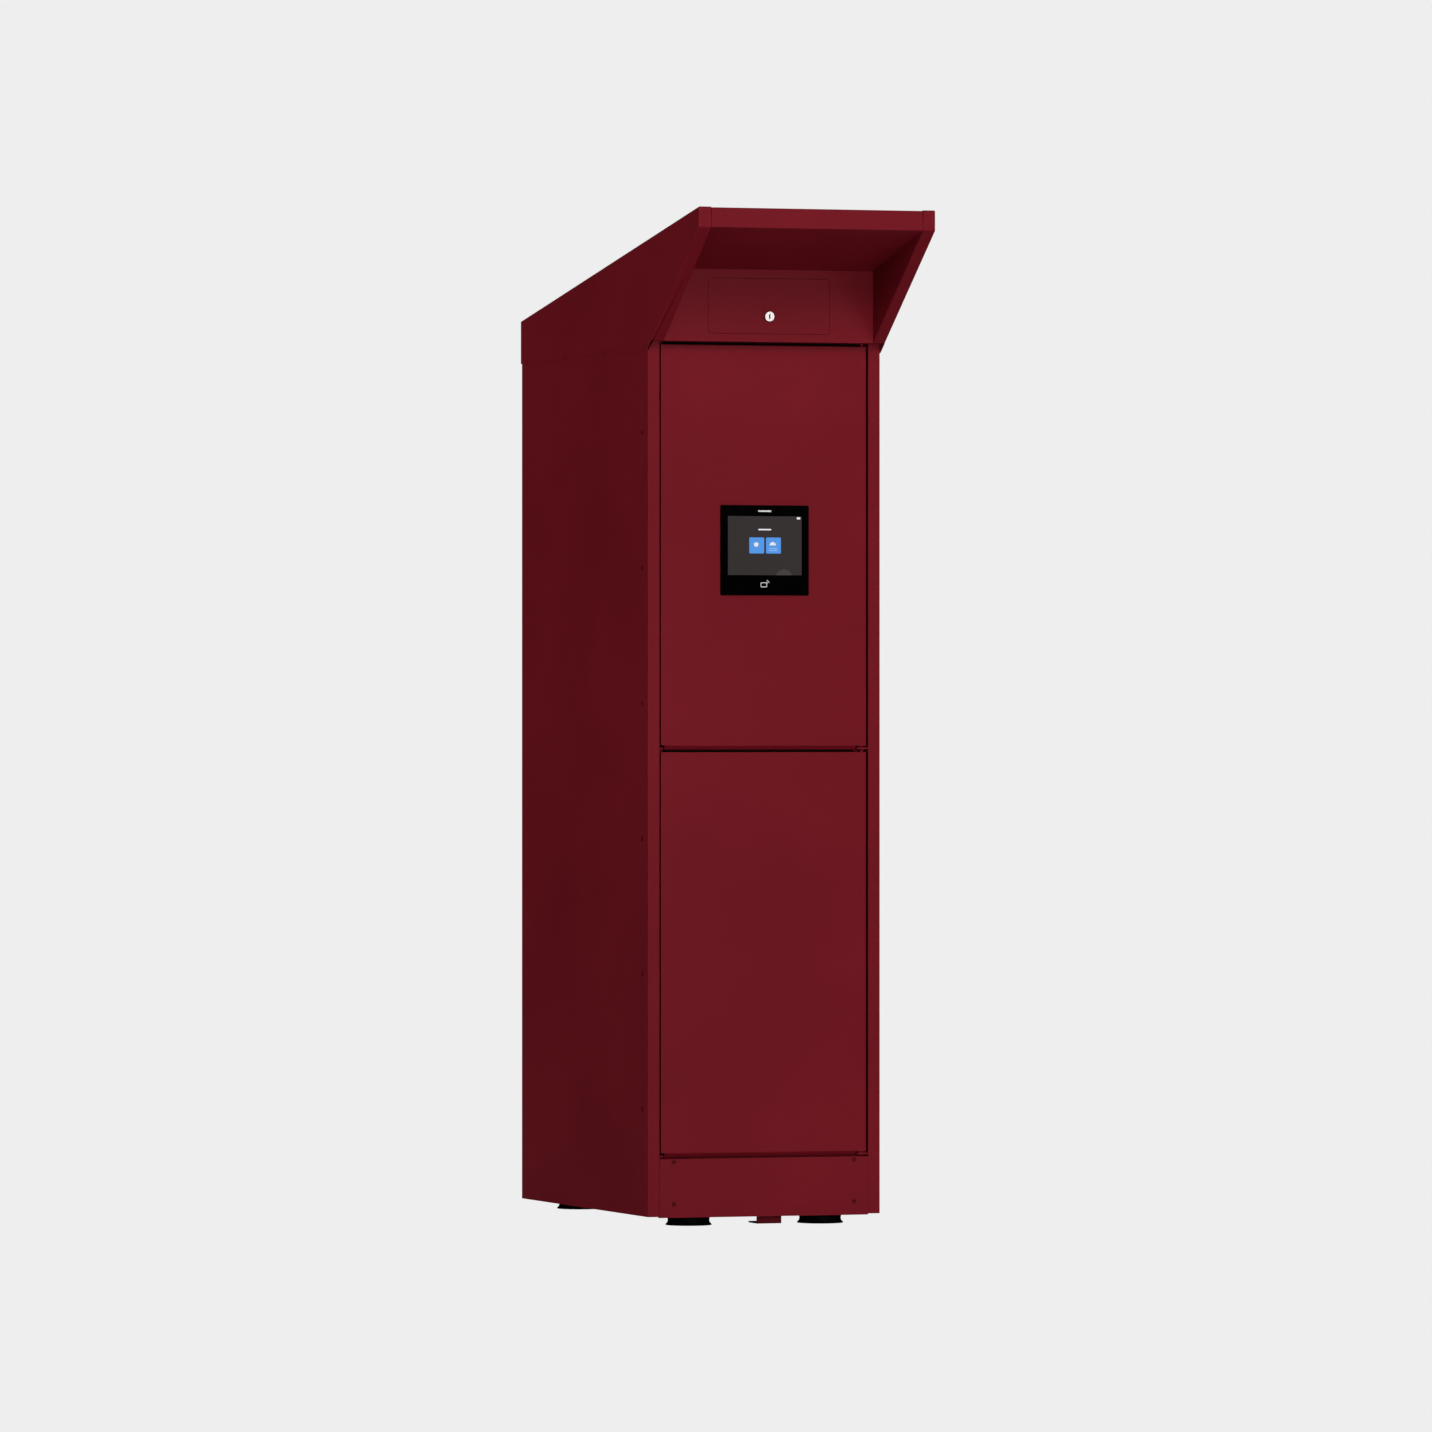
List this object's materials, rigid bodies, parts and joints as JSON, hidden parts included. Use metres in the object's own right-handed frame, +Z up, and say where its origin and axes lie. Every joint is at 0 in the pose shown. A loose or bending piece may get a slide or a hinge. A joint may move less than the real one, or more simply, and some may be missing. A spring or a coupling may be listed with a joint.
{
  "type": "parcel locker",
  "caption": "Tall steel parcel locker on feet, with stacked side-hinged doors, a touch terminal in the upper door, and a sloped rain hood with a key-locked service hatch.",
  "frame": {"origin": "on the floor, under the middle of the whole outline (hood's front edge to rear, side to side)", "axes": "+Z up, the doors face -Y, +X to the right of a person who faces the doors"},
  "size_m": [0.453, 1.0434, 1.85],
  "materials": {
    "powder_coat": "satin fine-grain powder coat, wine red",
    "coated_fastener": "satin, the same wine red, a little darker",
    "zinc_steel": "zinc-plated, satin",
    "lock_chrome": "bright nickel, lightly brushed",
    "black_rubber": "matte",
    "black_plastic": "matte",
    "black_glass": "gloss, opaque printed black with a display window",
    "display": "satin",
    "dark_case": "matte",
    "plain_steel": "plain zinc-plated sheet",
    "circuit_board": "satin solder mask"
  },
  "bodies": {
    "cabinet": {"side_panel_left": "powder_coat", "side_panel_right": "powder_coat", "jamb_left": "powder_coat", "jamb_right": "powder_coat", "back_panel": "powder_coat", "base_pan": "powder_coat", "lower_floor": "powder_coat", "middle_shelf": "powder_coat", "top_deck": "powder_coat", "bottom_rail": "powder_coat", "mid_rail": "powder_coat", "top_rail": "powder_coat", "plinth_panel": "powder_coat", "plinth_screws": "coated_fastener", "side_rivets": "coated_fastener", "hood_screws": "coated_fastener", "back_screws": "coated_fastener", "hood_side_left": "powder_coat", "hood_side_right": "powder_coat", "hood_cheeks": "powder_coat", "roof_panel": "powder_coat", "fascia": "powder_coat", "soffit": "powder_coat", "hood_front_panel": "powder_coat", "hatch_hinge_pins": "zinc_steel", "pivot_plates": "powder_coat", "pivot_pins": "powder_coat", "latch_cases": "black_plastic", "latch_pins": "zinc_steel", "anchor_bracket": "powder_coat", "anchor_screws": "zinc_steel", "foot_pads": "black_rubber", "foot_studs": "zinc_steel", "foot_nuts": "zinc_steel", "controller_box": "dark_case", "power_supply": "plain_steel", "cable_grommet": "black_rubber"},
    "upper_door": {"upper_door_skin": "powder_coat", "upper_door_liner": "powder_coat", "upper_door_gasket": "black_rubber", "upper_door_bushes": "black_plastic", "upper_door_strike": "zinc_steel", "terminal_glass": "black_glass", "display_module": "display", "terminal_housing": "black_plastic", "terminal_board": "circuit_board", "card_reader": "circuit_board"},
    "lower_door": {"lower_door_skin": "powder_coat", "lower_door_liner": "powder_coat", "lower_door_gasket": "black_rubber", "lower_door_bushes": "black_plastic", "lower_door_strike": "zinc_steel"},
    "hatch": {"hatch_panel": "powder_coat", "lock_barrel": "lock_chrome", "lock_nut": "zinc_steel"},
    "hatch_lock": {"lock_plug": "lock_chrome", "lock_cam": "zinc_steel", "cam_screw": "zinc_steel"},
    "upper_latch": {"upper_latch_pawl": "zinc_steel"},
    "lower_latch": {"lower_latch_pawl": "zinc_steel"}
  },
  "joints": [
    {"name": "upper_door_hinge", "type": "hinge", "parent": "cabinet", "child": "upper_door", "pos_m": [0.1921, -0.22275, 1.246], "axis": [0, 0, 1], "range_deg": [0, 110]},
    {"name": "lower_door_hinge", "type": "hinge", "parent": "cabinet", "child": "lower_door", "pos_m": [0.1921, -0.22275, 0.5005], "axis": [0, 0, 1], "range_deg": [0, 110]},
    {"name": "hatch_hinge", "type": "hinge", "parent": "cabinet", "child": "hatch", "pos_m": [0, -0.24925, 1.7129], "axis": [-1, 0, 0], "range_deg": [0, 90]},
    {"name": "hatch_lock_turn", "type": "hinge", "parent": "hatch", "child": "hatch_lock", "pos_m": [0, -0.25575, 1.6645], "axis": [0, 1, 0], "range_deg": [0, 90]},
    {"name": "upper_latch_turn", "type": "hinge", "parent": "cabinet", "child": "upper_latch", "pos_m": [-0.208, -0.16575, 1.246], "axis": [0, 0, 1], "range_deg": [0, 26]},
    {"name": "lower_latch_turn", "type": "hinge", "parent": "cabinet", "child": "lower_latch", "pos_m": [-0.208, -0.16575, 0.5005], "axis": [0, 0, 1], "range_deg": [0, 26]}
  ]
}
